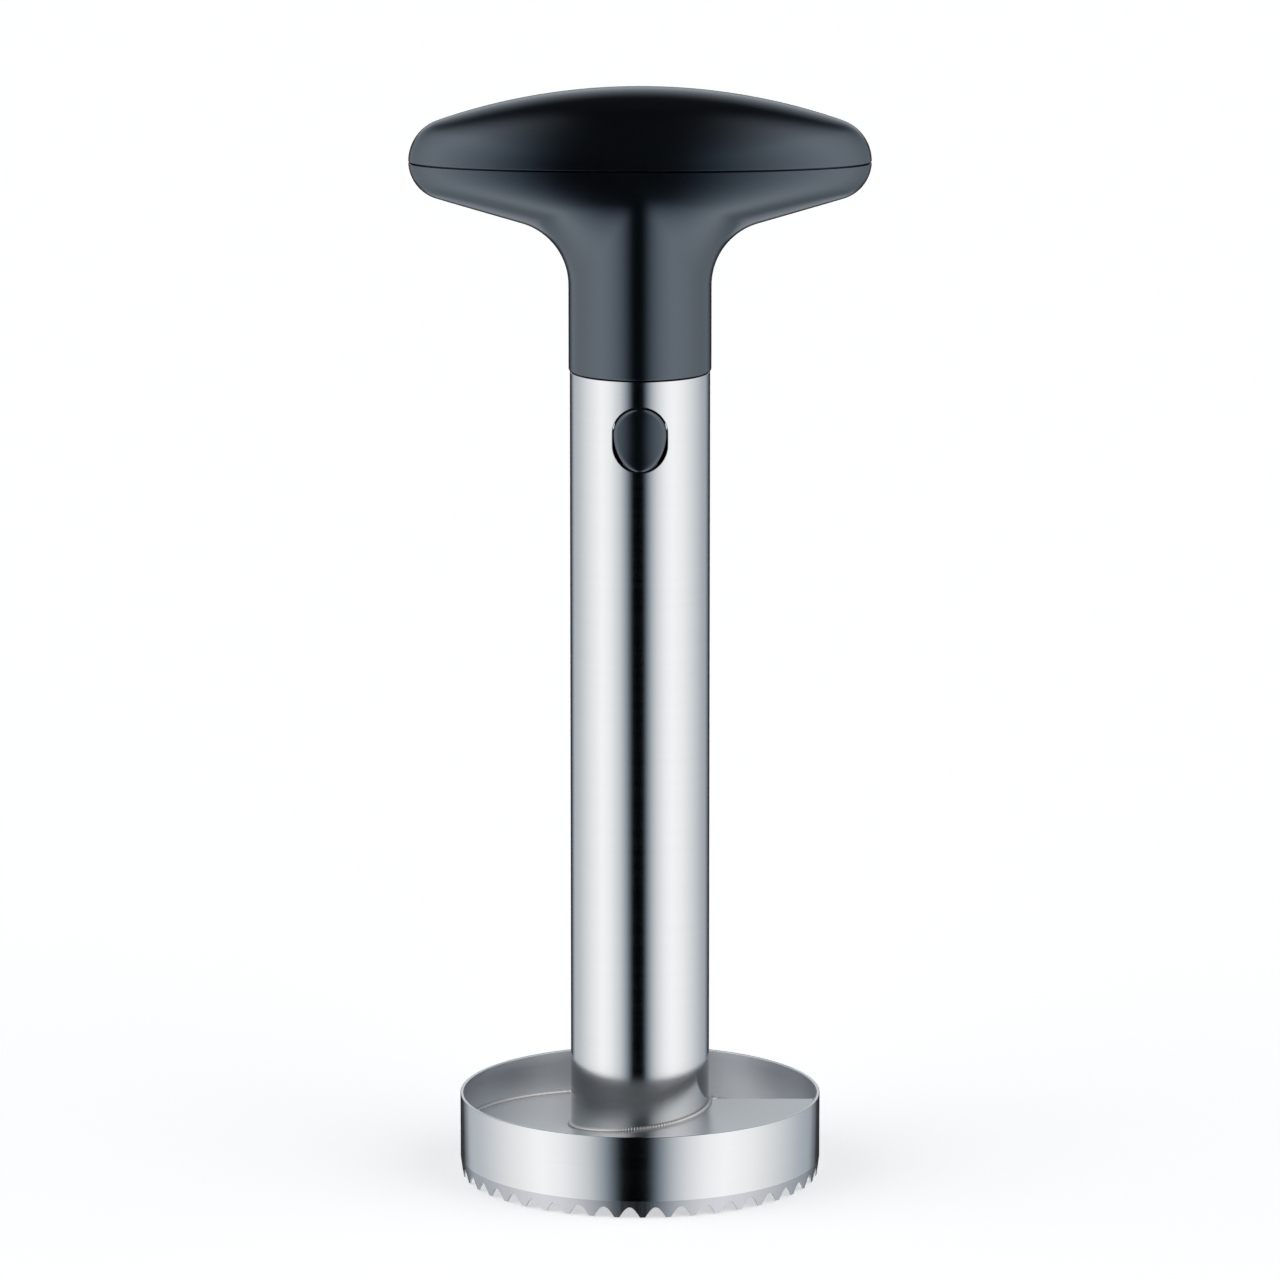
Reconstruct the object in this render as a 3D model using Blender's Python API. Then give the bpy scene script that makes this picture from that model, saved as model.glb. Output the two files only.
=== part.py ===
# Pineapple slicer: a stainless core tube carrying a spiral cutter, and a T-grip that snaps into the tube.
# Metres, +Z up. The origin is on the tube's axis, level with the tooth tips that the slicer stands on.
# -Y is the front, where the front button sits; the grip's long side lies along X.
import math

import bmesh
import bpy
from mathutils import Matrix, Vector

# Fits shared by all pieces
SEAT_GAP = 0.0003  # left between pieces that seat on each other
OVERRUN = 0.0020  # how far a cutter runs past the wall that it opens
ROUND_STEPS = 72  # facets of the large round pieces
SMALL_ROUND_STEPS = 32  # and of the fasteners
ARC_STEPS = 12  # facets of a half circle in an outline

# Ground edges of the tube and the rim ring
EDGE_LAND = 0.0003  # flat left on the tip of a ground edge
TOOTH_RISE_SHARES = (0.0, 0.0, 0.72, 1.0, 0.72)  # edge height at a tooth's five steps, of its depth

# Core tube
TUBE_DIAMETER = 0.0340
TUBE_WALL = 0.0007
TUBE_LENGTH = 0.2000
TUBE_TEETH = 24
TUBE_TOOTH_DEPTH = 0.0020
TUBE_GRIND_HEIGHT = 0.0034  # height of the ground bevel above the tips

# Rim ring and the spiral blade welded inside it
RIM_BORE = 0.0870
RIM_WALL = 0.0008
RIM_TEETH = 44
RIM_TOOTH_DEPTH = 0.0026
RIM_GRIND_HEIGHT = 0.0042
RIM_TOP_MARGIN = 0.0012  # rim left above the blade's high end
SLICE_PITCH = 0.0130  # slice thickness: the blade's rise in one turn
BLADE_THICKNESS = 0.0010
BLADE_EDGE_HEIGHT = 0.0040  # leading edge above the tooth tips
BLADE_LIP = 0.0002  # thickness left at the ground leading edge
BLADE_GRIND_WIDTH = 0.0038
BLADE_STEPS = 72
WELD_LEG = 0.0009  # leg of the fillet welds along both sides of the blade

# Snap buttons, one at the front and one at the rear
BUTTON_WIDTH = 0.0127
BUTTON_STRAIGHT = 0.0027  # straight sides of its hole; the button's lower half is drawn out by as much
BUTTON_DROP = 0.0145  # button centre below the stem's foot
BUTTON_PROUD = 0.0008  # face beyond the tube's outside
BUTTON_ROUND = 0.0006
BUTTON_BACK_STEP = 0.0004  # the pad is this much thicker than the tongue, on the inside
PAD_INNER_SHARE = 0.5  # place of the inner ring that rounds the pad's face, of its outline
PAD_ROUND_STEPS = 2
BUTTON_HOLE_CLEARANCE = 0.0003
TONGUE_WIDTH = 0.0087
TONGUE_STEPS = 6
TONGUE_ROOT_RISE = 0.0026  # bending line above the ends of the slots

# Snap plug
PLUG_CLEARANCE = 0.0003  # radial, in the tube
PLUG_WALL = 0.0024
PLUG_LENGTH = 0.0440
LEAD_IN_HEIGHT = 0.0034
LEAD_IN_DEPTH = 0.0012
PLUG_MOUTH_CHAMFER = 0.0006
ARCH_GAP = 0.0016  # opening round the button
SLOT_END_DROP = 0.0357  # slot ends below the stem's foot
NECK_DIAMETER = 0.0280  # the part of the plug that goes up into the stem
NECK_ACROSS_FLATS = 0.0252
NECK_HEIGHT = 0.0160
NECK_WALL = 0.0026
PLUG_ROOF = 0.0030

# Grip shells
GRIP_LENGTH = 0.1116
GRIP_DEPTH = 0.0364
GRIP_CROWN = 0.0180  # top of the grip above its seam
TIP_TOP_RADIUS = 0.0104  # rounding of the grip's two ends, seen from the front
TIP_BOTTOM_RADIUS = 0.0094
PLAN_POWER = 2.3  # superellipse power of the grip seen from above
UNDERSIDE_SLOPE = math.radians(16.1)
FILLET_RADIUS = 0.0158  # where the arms run into the stem
STEM_OVERHANG = 0.0003  # stem beyond the tube's outside
STEM_LENGTH = 0.0508  # seam to the foot of the stem
GRIP_WALL = 0.0028
RIM_LAND = 0.0014  # outer part of the wall that meets at the seam
LIP_HEIGHT = 0.0015
GRIP_STEPS = 48
HALVINGS = 32  # steps that close in on the surface of the filleted grip
DIAPHRAGM = 0.0040  # web across the stem that the screw pulls on
RIB_THICKNESS = 0.0016
RIB_PLACE_SHARES = (-0.66, -0.4, 0.4, 0.66)  # along half the grip's length

# Clamp screw and washer
SCREW_DIAMETER = 0.0040
SCREW_BITE = 0.0200  # length in the top shell's boss
SCREW_POINT = 0.0030
SCREW_HEAD_DIAMETER = 0.0078
SCREW_HEAD_HEIGHT = 0.0026
SCREW_HEAD_SHARES = ((0.55, 0.0), (0.9, 0.3), (1.0, 0.65), (1.0, 1.0))  # radius, height: a pan head
SCREW_POINT_SHARE = 0.35  # flat end of the screw's point, of its shank
WASHER_DIAMETER = 0.0100
WASHER_THICKNESS = 0.0008
BOSS_DIAMETER = 0.0092

# Worked out from the sizes above
TUBE_RADIUS = TUBE_DIAMETER / 2
TUBE_BORE_RADIUS = TUBE_RADIUS - TUBE_WALL
RIM_HEIGHT = BLADE_EDGE_HEIGHT + SLICE_PITCH + BLADE_THICKNESS + WELD_LEG + RIM_TOP_MARGIN
PLUG_RADIUS = TUBE_BORE_RADIUS - PLUG_CLEARANCE
PLUG_BORE_RADIUS = PLUG_RADIUS - PLUG_WALL
NECK_RADIUS = NECK_DIAMETER / 2
STEM_RADIUS = TUBE_RADIUS + STEM_OVERHANG
GRIP_SEAT = TUBE_LENGTH + SEAT_GAP  # world height of the stem's foot
HINGE_RADIUS = PLUG_RADIUS - PLUG_WALL / 2
HINGE_DROP = SLOT_END_DROP - TONGUE_ROOT_RISE
SOCKET_TOP = NECK_HEIGHT + SEAT_GAP  # above the stem's foot, as all the grip's heights below
DIAPHRAGM_TOP = SOCKET_TOP + DIAPHRAGM
REBATE = -LIP_HEIGHT - SEAT_GAP  # floor of the seam's rebate, from the seam
PLUG_ROOF_BOTTOM = NECK_HEIGHT - PLUG_ROOF
SCREW_HOLE_RADIUS = SCREW_DIAMETER / 2 + SEAT_GAP
BOSS_FOOT = DIAPHRAGM_TOP + SEAT_GAP


def material(name, colour, roughness, metallic):
    made = bpy.data.materials.new(name)
    made.use_nodes = True
    shader = made.node_tree.nodes["Principled BSDF"]
    shader.inputs["Base Color"].default_value = (*colour, 1)
    shader.inputs["Roughness"].default_value = roughness
    shader.inputs["Metallic"].default_value = metallic
    return made


def empty(name, place, parent=None, turn=0.0):
    made = bpy.data.objects.new(name, None)
    bpy.context.scene.collection.objects.link(made)
    made.location = place
    made.rotation_euler.z = turn
    made.parent = parent
    return made


def finish(name, bm, finish_material=None, parent=None, sharp=math.radians(35)):
    # Turns a bmesh into an object with its faces pointing out and its round faces shaded smooth.
    bmesh.ops.recalc_face_normals(bm, faces=bm.faces)
    mesh = bpy.data.meshes.new(name)
    bm.to_mesh(mesh)
    bm.free()
    mesh.shade_smooth()
    mesh.set_sharp_from_angle(angle=sharp)
    made = bpy.data.objects.new(name, mesh)
    bpy.context.scene.collection.objects.link(made)
    made.parent = parent
    if finish_material:
        mesh.materials.append(finish_material)
    return made


def as_cutter(obj):
    obj.hide_render = True
    obj.display_type = "WIRE"
    return obj


def combine(obj, other, operation):
    step = obj.modifiers.new(f"{operation.lower()} {other.name}", "BOOLEAN")
    step.operation = operation
    step.object = as_cutter(other)
    return obj


def loft(bm, rings, closed=False):
    # Skins rings of points. A closed loft joins its last ring to its first; an open one gets end caps.
    # A ring of one point is a pole.
    rows = [[bm.verts.new(point) for point in ring] for ring in rings]
    pairs = list(zip(rows, rows[1:]))
    if closed:
        pairs.append((rows[-1], rows[0]))
    for low, high in pairs:
        count = max(len(low), len(high))
        for i in range(count):
            j = (i + 1) % count
            if len(low) == 1:
                bm.faces.new((low[0], high[j], high[i]))
            elif len(high) == 1:
                bm.faces.new((low[i], low[j], high[0]))
            else:
                bm.faces.new((low[i], low[j], high[j], high[i]))
    if not closed:
        for row in (rows[0], rows[-1]):
            if len(row) > 2:
                bm.faces.new(row)
    return bm


def circle(radius, height, steps=ROUND_STEPS):
    turns = [math.tau * i / steps for i in range(steps)]
    return [(radius * math.cos(a), radius * math.sin(a), height) for a in turns]


def turned(name, profile, closed=False, **more):
    # A small turned piece from (radius, height) pairs; a radius of zero is a pole.
    rings = [circle(r, z, SMALL_ROUND_STEPS) if r > 0 else [(0, 0, z)] for r, z in profile]
    return finish(name, loft(bmesh.new(), rings, closed), **more)


def plain_cylinder(name, radius, low, high, parent=None):
    return turned(name, [(radius, low), (radius, high)], parent=parent)


def prism(name, outline, half_run, parent=None):
    # An outline of (x, z) points, extruded along Y to both sides.
    rings = [[(x, y, z) for x, z in outline] for y in (-half_run, half_run)]
    return finish(name, loft(bmesh.new(), rings), parent=parent)


def arc(centre_x, centre_z, radius, start, end, steps):
    # Points on an arc, angles from +X towards +Z.
    turns = [start + (end - start) * i / steps for i in range(steps + 1)]
    return [(centre_x + radius * math.cos(a), centre_z + radius * math.sin(a)) for a in turns]


def toothed_sleeve(bore_radius, wall, height, teeth, depth, grind_height):
    # A thin sleeve standing on a ring of scalloped teeth, ground to an edge from the outside.
    outer = bore_radius + wall
    steps = len(TOOTH_RISE_SHARES) * teeth
    rises = [depth * TOOTH_RISE_SHARES[i % len(TOOTH_RISE_SHARES)] for i in range(steps)]

    def edge(radius_at):
        points = []
        for i, rise in enumerate(rises):
            turn = math.tau * i / steps
            radius = radius_at(rise)
            points.append((radius * math.cos(turn), radius * math.sin(turn), rise))
        return points

    def ground_radius(rise):
        return bore_radius + EDGE_LAND + (wall - EDGE_LAND) * rise / grind_height

    rings = [
        edge(lambda rise: bore_radius),
        edge(ground_radius),
        circle(outer, grind_height, steps),
        circle(outer, height, steps),
        circle(bore_radius, height, steps),
    ]
    return loft(bmesh.new(), rings, closed=True)


def hole_outline(grow):
    # The upright obround that the button passes through, grown by a clearance, about its own centre.
    radius = BUTTON_WIDTH / 2 + grow
    half = BUTTON_STRAIGHT / 2
    top = arc(0, half, radius, 0, math.pi, ARC_STEPS)
    bottom = arc(0, -half, radius, math.pi, math.tau, ARC_STEPS)
    return top + bottom


def make_core_tube(steel):
    sleeve = toothed_sleeve(
        TUBE_BORE_RADIUS, TUBE_WALL, TUBE_LENGTH, TUBE_TEETH, TUBE_TOOTH_DEPTH, TUBE_GRIND_HEIGHT
    )
    tube = finish("core_tube", sleeve, steel)
    centre = GRIP_SEAT - BUTTON_DROP
    outline = [(x, centre + z) for x, z in hole_outline(BUTTON_HOLE_CLEARANCE)]
    holes = prism("button_hole_cutter", outline, TUBE_RADIUS + OVERRUN)
    return combine(tube, holes, "DIFFERENCE")


def make_rim_ring(steel):
    sleeve = toothed_sleeve(
        RIM_BORE / 2, RIM_WALL, RIM_HEIGHT, RIM_TEETH, RIM_TOOTH_DEPTH, RIM_GRIND_HEIGHT
    )
    return finish("rim_ring", sleeve, steel)


def make_spiral_blade(steel):
    # One right-hand turn, so that a clockwise twist drives it down. Its leading edge lies along +X.
    inner = TUBE_RADIUS + SEAT_GAP
    outer = RIM_BORE / 2 - SEAT_GAP

    def section(thickness, leg):
        return [
            (inner, 0.0),
            (outer, 0.0),
            (outer, thickness + leg),
            (outer - leg, thickness),
            (inner + leg, thickness),
            (inner, thickness + leg),
        ]

    def placed(points, turn_at):
        ring = []
        for radius, lift in points:
            turn = turn_at(radius)
            height = BLADE_EDGE_HEIGHT + SLICE_PITCH * turn / math.tau + lift
            ring.append((radius * math.cos(turn), radius * math.sin(turn), height))
        return ring

    full = section(BLADE_THICKNESS, WELD_LEG)
    rings = [
        placed(section(BLADE_LIP, BLADE_LIP), lambda radius: 0.0),
        placed(full, lambda radius: BLADE_GRIND_WIDTH / radius),
    ]
    first = BLADE_GRIND_WIDTH / inner
    for i in range(1, BLADE_STEPS + 1):
        share = i / BLADE_STEPS
        turn = first + (math.tau - first) * share
        rings.append(placed(full, lambda radius, turn=turn: turn))
    return finish("spiral_blade", loft(bmesh.new(), rings), steel)


def keyhole_outline():
    # The opening round a tongue: an arch over the button and two slots down beside the tongue,
    # with the bending line between them. Heights are from the stem's foot.
    half_arch = BUTTON_WIDTH / 2 + ARCH_GAP
    arch_centre = -BUTTON_DROP + BUTTON_STRAIGHT / 2
    half_tongue = TONGUE_WIDTH / 2
    slot_radius = (half_arch - half_tongue) / 2
    slot_middle = half_tongue + slot_radius
    slot_centre = -SLOT_END_DROP + slot_radius
    outline = arc(0, arch_centre, half_arch, 0, math.pi, ARC_STEPS)
    outline += arc(-slot_middle, slot_centre, slot_radius, math.pi, math.tau, ARC_STEPS // 2)
    outline += [(-half_tongue, -HINGE_DROP), (half_tongue, -HINGE_DROP)]
    outline += arc(slot_middle, slot_centre, slot_radius, math.pi, math.tau, ARC_STEPS // 2)
    return outline


def flatted_circle(radius, across_flats, height):
    # A circle with two flats that face +X and -X.
    half = across_flats / 2
    return [(max(-half, min(half, x)), y, z) for x, y, z in circle(radius, height)]


def make_snap_plug(plastic, grip):
    neck_bore = NECK_RADIUS - NECK_WALL
    rings = [
        circle(PLUG_BORE_RADIUS + PLUG_MOUTH_CHAMFER, -PLUG_LENGTH),
        circle(PLUG_RADIUS - LEAD_IN_DEPTH, -PLUG_LENGTH),
        circle(PLUG_RADIUS, -PLUG_LENGTH + LEAD_IN_HEIGHT),
        circle(PLUG_RADIUS, -SEAT_GAP),
        flatted_circle(NECK_RADIUS, NECK_ACROSS_FLATS, -SEAT_GAP),
        flatted_circle(NECK_RADIUS, NECK_ACROSS_FLATS, NECK_HEIGHT),
        circle(SCREW_HOLE_RADIUS, NECK_HEIGHT),
        circle(SCREW_HOLE_RADIUS, PLUG_ROOF_BOTTOM),
        circle(neck_bore, PLUG_ROOF_BOTTOM),
        circle(neck_bore, 0.0),
        circle(PLUG_BORE_RADIUS, -PLUG_WALL),
        circle(PLUG_BORE_RADIUS, -PLUG_LENGTH + PLUG_MOUTH_CHAMFER),
    ]
    plug = finish("snap_plug", loft(bmesh.new(), rings, closed=True), plastic, grip)
    keyholes = prism("keyhole_cutter", keyhole_outline(), PLUG_RADIUS + OVERRUN, grip)
    return combine(plug, keyholes, "DIFFERENCE")


def tongue_strip_ring(height):
    # The cross-section of a tongue, a slice of the plug's wall, seen from above.
    half = TONGUE_WIDTH / 2
    sides = [-half + TONGUE_WIDTH * i / TONGUE_STEPS for i in range(TONGUE_STEPS + 1)]
    outside = [(x, -math.sqrt(PLUG_RADIUS**2 - x**2), height) for x in sides]
    inside = [(x, -math.sqrt(PLUG_BORE_RADIUS**2 - x**2), height) for x in reversed(sides)]
    return outside + inside


def pad_ring(radius, share):
    # The button's outline shrunk to a share and laid on a round face: a half circle above,
    # drawn out like an egg below, to the same reach as the hole's outline.
    half = BUTTON_WIDTH / 2
    middle = -BUTTON_DROP + BUTTON_STRAIGHT / 2
    points = []
    for i in range(2 * ARC_STEPS):
        turn = math.pi * i / ARC_STEPS
        x = share * half * math.cos(turn)
        reach = half if math.sin(turn) > 0 else half + BUTTON_STRAIGHT
        points.append((x, -math.sqrt(radius**2 - x**2), middle + share * reach * math.sin(turn)))
    return points


def make_button_pad():
    # The button itself, from its back to its face, which is as round as the tube.
    back, face = PLUG_BORE_RADIUS - BUTTON_BACK_STEP, TUBE_RADIUS + BUTTON_PROUD
    middle = -BUTTON_DROP + BUTTON_STRAIGHT / 2
    rings = [[(0, -back, middle)], pad_ring(back, PAD_INNER_SHARE), pad_ring(back, 1)]
    rings.append(pad_ring(face - BUTTON_ROUND, 1))
    for i in range(1, PAD_ROUND_STEPS + 1):
        turn = math.pi / 2 * i / PAD_ROUND_STEPS
        inset = BUTTON_ROUND * (1 - math.cos(turn))
        rings.append(pad_ring(face - BUTTON_ROUND * (1 - math.sin(turn)), 1 - inset / (BUTTON_WIDTH / 2)))
    rings += [pad_ring(face, PAD_INNER_SHARE), [(0, -face, middle)]]
    return loft(bmesh.new(), rings)


def make_button_tongue(name, plastic, hinge):
    # Modelled about the stem's foot, then moved so that its origin is the bending line.
    to_hinge = Matrix.Translation(Vector((0, HINGE_RADIUS, HINGE_DROP)))
    rings = [tongue_strip_ring(-HINGE_DROP + SEAT_GAP), tongue_strip_ring(-BUTTON_DROP)]
    tongue = finish(name, loft(bmesh.new(), rings), plastic, hinge)
    pad = finish(f"{name}_pad", make_button_pad(), parent=hinge)
    for piece in (tongue, pad):
        piece.data.transform(to_hinge)
    return combine(tongue, pad, "UNION")


class GripForm:
    # The grip's form, inset by a wall: a lens-shaped bar on a round stem, with a large fillet between.
    # x is the distance from the middle along the bar, and z is the height above the seam.
    def __init__(self, inset=0.0):
        self.reach = GRIP_LENGTH / 2 - inset
        self.half_depth = GRIP_DEPTH / 2 - inset
        self.stem_radius = STEM_RADIUS - inset
        self.tip_top_x = GRIP_LENGTH / 2 - TIP_TOP_RADIUS
        self.tip_bottom_x = GRIP_LENGTH / 2 - TIP_BOTTOM_RADIUS
        self.tip_top_radius = TIP_TOP_RADIUS - inset
        self.tip_bottom_radius = TIP_BOTTOM_RADIUS - inset
        # The crown's arc touches the ends' upper rounding.
        squares = self.tip_top_x**2 + GRIP_CROWN**2 - TIP_TOP_RADIUS**2
        crown = squares / (2 * (GRIP_CROWN - TIP_TOP_RADIUS))
        self.crown_centre = GRIP_CROWN - crown
        self.crown_radius = crown - inset
        self.crown_turn = math.atan2(self.tip_top_x, -self.crown_centre)
        # The underside's slope touches the ends' lower rounding and the stem's fillet.
        along, down = math.sin(UNDERSIDE_SLOPE), math.cos(UNDERSIDE_SLOPE)
        self.slope_x = self.tip_bottom_x + self.tip_bottom_radius * along
        self.slope_z = -self.tip_bottom_radius * down
        self.fillet_radius = FILLET_RADIUS + inset
        self.fillet_x = STEM_RADIUS + FILLET_RADIUS
        self.fillet_z = self.belly(self.fillet_x) - self.fillet_radius / down

    def crown(self, x):
        if x < self.crown_radius * math.sin(self.crown_turn):
            return self.crown_centre + math.sqrt(self.crown_radius**2 - x**2)
        return math.sqrt(max(self.tip_top_radius**2 - (x - self.tip_top_x) ** 2, 0.0))

    def belly(self, x):
        if x < self.slope_x:
            return self.slope_z - (self.slope_x - x) * math.tan(UNDERSIDE_SLOPE)
        return -math.sqrt(max(self.tip_bottom_radius**2 - (x - self.tip_bottom_x) ** 2, 0.0))

    def plan(self, x):
        # Half depth of the bar at the level of its seam.
        return self.half_depth * max(1 - (x / self.reach) ** PLAN_POWER, 0.0) ** (1 / PLAN_POWER)

    def outside(self, x, y, z):
        # How far a point under the seam lies outside the stem and the bar; it is negative inside.
        # Where the two meet, a ball that rolls along both leaves a fillet.
        plan, belly, radius = self.plan(x), self.belly(x), self.fillet_radius
        across = math.hypot(x, y)
        from_stem = across - self.stem_radius
        from_bar = (1 - math.hypot(y / plan, z / belly)) * belly * math.cos(UNDERSIDE_SLOPE)
        down = z / belly**2
        normal = Vector((-down * math.tan(UNDERSIDE_SLOPE), y / plan**2, down)).normalized()
        alike = (normal.x * x + normal.y * y) / across
        to_stem, to_bar = radius - from_stem, radius - from_bar
        if to_stem <= alike * to_bar or to_bar <= alike * to_stem:
            return min(from_stem, from_bar)
        both = to_stem**2 + to_bar**2 - 2 * alike * to_stem * to_bar
        return radius - math.sqrt(both / (1 - alike**2))

    def depth(self, x, z):
        # Distance of the surface from the grip's middle plane.
        if z >= 0 or x >= self.fillet_x:
            limit = self.crown(x) if z > 0 else self.belly(x)
            return self.plan(x) * math.sqrt(max(1 - (z / limit) ** 2, 0.0)) if limit else 0.0
        inner, outer = 0.0, GRIP_DEPTH
        for _ in range(HALVINGS):
            middle = (inner + outer) / 2
            if self.outside(x, middle, z) > 0:
                outer = middle
            else:
                inner = middle
        return inner

    def ring(self, half_length, z, level=None):
        # A level section of the grip, at its own height or placed at another level.
        at = STEM_LENGTH + (z if level is None else level)
        points = []
        for i in range(GRIP_STEPS):
            turn = math.tau * i / GRIP_STEPS
            x, side = half_length * math.cos(turn), math.sin(turn)
            at_end = i % (GRIP_STEPS // 2) == 0
            points.append((x, 0.0 if at_end else math.copysign(self.depth(abs(x), z), side), at))
        return points

    def seam_ring(self, level):
        # The section at the seam, placed at another level, for the lip and its rebate.
        return self.ring(self.reach, 0.0, level)

    def above(self, crown_steps, tip_steps):
        # (half length, height) from just beside the crown's top down to the seam.
        points = []
        for i in range(1, crown_steps + 1):
            turn = self.crown_turn * i / crown_steps
            height = self.crown_centre + self.crown_radius * math.cos(turn)
            points.append((self.crown_radius * math.sin(turn), height))
        start = math.pi / 2 - self.crown_turn
        tip = arc(self.tip_top_x, 0.0, self.tip_top_radius, start, 0.0, tip_steps)
        return points + tip[1:-1] + [(self.reach, 0.0)]

    def below(self, start, tip_steps, slope_steps, fillet_steps):
        # (half length, height) from a height under the seam down to the top of the plain stem.
        first = math.asin(start / self.tip_bottom_radius)
        last = UNDERSIDE_SLOPE - math.pi / 2
        points = arc(self.tip_bottom_x, 0.0, self.tip_bottom_radius, first, last, tip_steps)
        touch = math.pi / 2 + UNDERSIDE_SLOPE
        fillet = arc(self.fillet_x, self.fillet_z, self.fillet_radius, touch, math.pi, fillet_steps)
        (x0, z0), (x1, z1) = points[-1], fillet[0]
        for i in range(1, slope_steps):
            share = i / slope_steps
            points.append((x0 + (x1 - x0) * share, z0 + (z1 - z0) * share))
        return points + fillet


def make_grip_top_shell(plastic, grip):
    outside, inside = GripForm(), GripForm(GRIP_WALL)
    lip = GripForm(RIM_LAND + SEAT_GAP)
    crown_top = STEM_LENGTH + GRIP_CROWN
    rings = [[(0, 0, crown_top)]]
    rings += [outside.ring(x, z) for x, z in outside.above(6, 6)]
    rings += [lip.seam_ring(0.0), lip.seam_ring(-LIP_HEIGHT), inside.seam_ring(-LIP_HEIGHT)]
    rings += [inside.ring(x, z) for x, z in reversed(inside.above(4, 3))]
    rings += [[(0, 0, crown_top - GRIP_WALL)]]
    shell = finish("grip_top_shell", loft(bmesh.new(), rings), plastic, grip)
    # The screw boss reaches down to the web in the stem.
    boss_top = crown_top - GRIP_WALL / 2
    boss = plain_cylinder("boss", BOSS_DIAMETER / 2, BOSS_FOOT, boss_top, grip)
    combine(shell, boss, "UNION")
    pilot_top = BOSS_FOOT + SCREW_BITE + SEAT_GAP
    pilot = plain_cylinder("pilot_cutter", SCREW_HOLE_RADIUS, BOSS_FOOT - OVERRUN, pilot_top, grip)
    return combine(shell, pilot, "DIFFERENCE")


def make_grip_cavity(grip):
    # The hollow of the lower shell, from the rebate at the seam down to the web in the stem.
    inside, land = GripForm(GRIP_WALL), GripForm(RIM_LAND)
    floor = DIAPHRAGM_TOP - STEM_LENGTH
    rings = [land.seam_ring(OVERRUN), land.seam_ring(REBATE)]
    rings += [inside.ring(x, z) for x, z in inside.below(REBATE, 3, 3, 6) if z > floor + SEAT_GAP]
    rings.append(inside.ring(inside.stem_radius, floor))
    cavity = finish("grip_cavity_cutter", loft(bmesh.new(), rings), parent=grip)
    for number, share in enumerate(RIB_PLACE_SHARES, 1):
        middle = share * GRIP_LENGTH / 2
        half, top = RIB_THICKNESS / 2, STEM_LENGTH + REBATE
        outline = [(middle - half, 0), (middle + half, 0), (middle + half, top), (middle - half, top)]
        rib = prism(f"rib_{number}", outline, GRIP_DEPTH, grip)
        combine(cavity, rib, "DIFFERENCE")
    return cavity


def make_grip_body(plastic, grip):
    outside = GripForm()
    top = -SEAT_GAP
    rings = [outside.ring(x, z) for x, z in outside.below(top, 5, 3, 8)]
    rings.append(outside.ring(outside.stem_radius, -STEM_LENGTH))
    body = finish("grip_body", loft(bmesh.new(), rings), plastic, grip)
    combine(body, make_grip_cavity(grip), "DIFFERENCE")
    socket_radius = NECK_RADIUS + SEAT_GAP
    socket_flats = NECK_ACROSS_FLATS + 2 * SEAT_GAP
    ends = [flatted_circle(socket_radius, socket_flats, z) for z in (-OVERRUN, SOCKET_TOP)]
    socket = finish("socket_cutter", loft(bmesh.new(), ends), parent=grip)
    combine(body, socket, "DIFFERENCE")
    hole = plain_cylinder(
        "screw_hole_cutter", SCREW_HOLE_RADIUS, SOCKET_TOP - OVERRUN, DIAPHRAGM_TOP + OVERRUN, grip
    )
    return combine(body, hole, "DIFFERENCE")


def make_screw_washer(steel, grip):
    top = PLUG_ROOF_BOTTOM - SEAT_GAP
    bottom = top - WASHER_THICKNESS
    outer = WASHER_DIAMETER / 2
    profile = [
        (SCREW_HOLE_RADIUS, bottom),
        (outer, bottom),
        (outer, top),
        (SCREW_HOLE_RADIUS, top),
    ]
    return turned("screw_washer", profile, closed=True, finish_material=steel, parent=grip)


def make_clamp_screw(steel, grip):
    under_head = PLUG_ROOF_BOTTOM - SEAT_GAP - WASHER_THICKNESS - SEAT_GAP
    head_radius, shank = SCREW_HEAD_DIAMETER / 2, SCREW_DIAMETER / 2
    end = BOSS_FOOT + SCREW_BITE
    head_low = under_head - SCREW_HEAD_HEIGHT
    profile = [(0, head_low)]
    profile += [(head_radius * r, head_low + SCREW_HEAD_HEIGHT * z) for r, z in SCREW_HEAD_SHARES]
    profile += [(shank, under_head), (shank, end - SCREW_POINT), (shank * SCREW_POINT_SHARE, end)]
    profile.append((0, end))
    return turned("clamp_screw", profile, finish_material=steel, parent=grip)


def main():
    for old in list(bpy.data.objects):
        bpy.data.objects.remove(old)
    steel = material("satin_steel", (0.60, 0.61, 0.63), 0.28, 1.0)
    fastener = material("fastener_steel", (0.52, 0.53, 0.55), 0.35, 1.0)
    grip_plastic = material("grip_plastic", (0.028, 0.032, 0.037), 0.42, 0.0)
    plug_plastic = material("plug_plastic", (0.026, 0.030, 0.035), 0.45, 0.0)

    make_core_tube(steel)
    make_rim_ring(steel)
    make_spiral_blade(steel)

    grip = empty("grip_lift", (0, 0, GRIP_SEAT))
    make_grip_top_shell(grip_plastic, grip)
    make_grip_body(grip_plastic, grip)
    make_snap_plug(plug_plastic, grip)
    make_screw_washer(fastener, grip)
    make_clamp_screw(fastener, grip)
    for name, turn in (("front", 0.0), ("rear", math.pi)):
        at = Matrix.Rotation(turn, 4, "Z") @ Vector((0, -HINGE_RADIUS, -HINGE_DROP))
        hinge = empty(f"{name}_button_hinge", at, grip, turn)
        make_button_tongue(f"{name}_button_tongue", plug_plastic, hinge)


main()
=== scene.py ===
import math

import bpy
from mathutils import Matrix, Vector


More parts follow.
